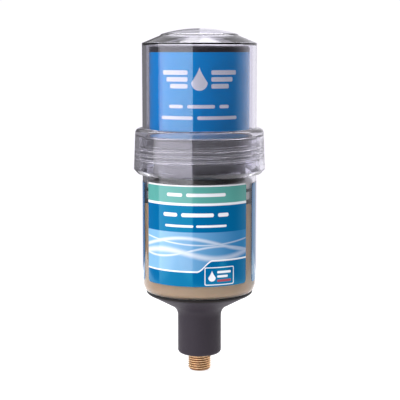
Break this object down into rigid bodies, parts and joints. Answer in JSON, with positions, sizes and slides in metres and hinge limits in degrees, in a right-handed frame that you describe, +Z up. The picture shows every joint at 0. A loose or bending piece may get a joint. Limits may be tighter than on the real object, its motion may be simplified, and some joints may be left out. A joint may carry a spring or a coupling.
{
  "type": "automatic lubricator",
  "caption": "Automatic lubricator: a battery drive under a clear screw-on cover turns a lead screw that pushes a piston down a clear grease canister above a threaded stem.",
  "frame": {"origin": "centre of the threaded stem's tip", "axes": "+Z up along the stem, canister and cover; -Y is the front, with the front label"},
  "size_m": [0.0752, 0.0752, 0.1977],
  "materials": {
    "flange_plastic": "fine moulded, matt",
    "stem_brass": "turned, copper-toned",
    "canister_clear": "clear, polished",
    "cover_clear": "clear with a faint grey tint, polished",
    "front_print": "printed film in blue, pale blue and green",
    "back_print": "printed film, blue with pale blocks",
    "drive_print": "printed film, blue",
    "grease": "tan grease, satin",
    "dark_plastic": "moulded, satin",
    "seal_rubber": "moulded, matt",
    "piston_plastic": "moulded, natural",
    "gear_plastic": "moulded, natural white",
    "spindle_plastic": "moulded, natural white",
    "steel": "bright",
    "motor_steel": "drawn can",
    "cell_sleeve": "sleeved cell, whose density stands for the whole cell",
    "contact_metal": "nickel plated",
    "board_green": "coated board",
    "lamp_clear": "clear",
    "dial_plastic": "moulded, light grey"
  },
  "bodies": {
    "canister_unit": {"support_flange": "flange_plastic", "threaded_stem": "stem_brass", "spigot_o_ring": "seal_rubber", "canister": "canister_clear", "front_label": "front_print", "back_label": "back_print", "spindle_foot_bush": "gear_plastic", "grease_fill": "grease", "drive_base": "dark_plastic", "neck_o_ring": "seal_rubber", "output_bush": "gear_plastic", "idler_pin": "steel", "gear_plate": "dark_plastic", "gear_plate_screws": "steel", "motor": "motor_steel", "battery_tray": "dark_plastic", "battery_cell_1": "cell_sleeve", "battery_cell_2": "cell_sleeve", "battery_cell_3": "cell_sleeve", "contact_strip_bottom": "contact_metal", "contact_strip_top": "contact_metal", "circuit_board": "board_green", "board_screws": "steel", "rotary_switch": "dark_plastic", "status_leds": "lamp_clear", "status_lens": "lamp_clear", "drive_housing": "dark_plastic", "drive_label": "drive_print"},
    "cover_gasket": {"cover_gasket": "seal_rubber"},
    "cover": {"cover": "cover_clear"},
    "dial": {"dial": "dial_plastic"},
    "spindle": {"spindle": "spindle_plastic", "output_gear": "gear_plastic"},
    "piston": {"piston": "piston_plastic", "piston_seal_lower": "seal_rubber", "piston_seal_upper": "seal_rubber"},
    "idler": {"idler_gear": "gear_plastic"},
    "motor_pinion": {"motor_pinion": "gear_plastic", "motor_shaft": "steel"}
  },
  "joints": [
    {"name": "cover_rise", "type": "slide", "parent": "canister_unit", "child": "cover_gasket", "axis": [0, 0, 1], "range_m": [0, 0.0126]},
    {"name": "cover_turn", "type": "hinge", "parent": "cover_gasket", "child": "cover", "pos_m": [0, 0, 0.137], "axis": [0, 0, 1], "range_deg": [0, 1500]},
    {"name": "dial_turn", "type": "hinge", "parent": "canister_unit", "child": "dial", "pos_m": [0, 0, 0.186], "axis": [0, 0, 1], "range_deg": [0, 330]},
    {"name": "spindle_turn", "type": "hinge", "parent": "canister_unit", "child": "spindle", "pos_m": [0, 0, 0.114], "axis": [0, 0, 1], "range_deg": [0, 3097]},
    {"name": "piston_slide", "type": "slide", "parent": "canister_unit", "child": "piston", "axis": [0, 0, -1], "range_m": [0, 0.043], "deforming": ["grease_fill"]},
    {"name": "idler_spin", "type": "hinge", "parent": "canister_unit", "child": "idler", "pos_m": [-0.01087, -0.01033, 0.12], "axis": [0, 0, 1], "range_deg": [-8516, 0]},
    {"name": "motor_spin", "type": "hinge", "parent": "canister_unit", "child": "motor_pinion", "pos_m": [0, -0.0165, 0.123], "axis": [0, 0, 1], "range_deg": [0, 18095]}
  ],
  "couplings": [
    {"joint": "cover_rise", "follows": "cover_turn", "m_per_rad": 0.00047746},
    {"joint": "spindle_turn", "follows": "piston_slide", "rad_per_m": 1256.6},
    {"joint": "idler_spin", "follows": "piston_slide", "rad_per_m": -3455.8},
    {"joint": "motor_spin", "follows": "piston_slide", "rad_per_m": 7343.5}
  ]
}
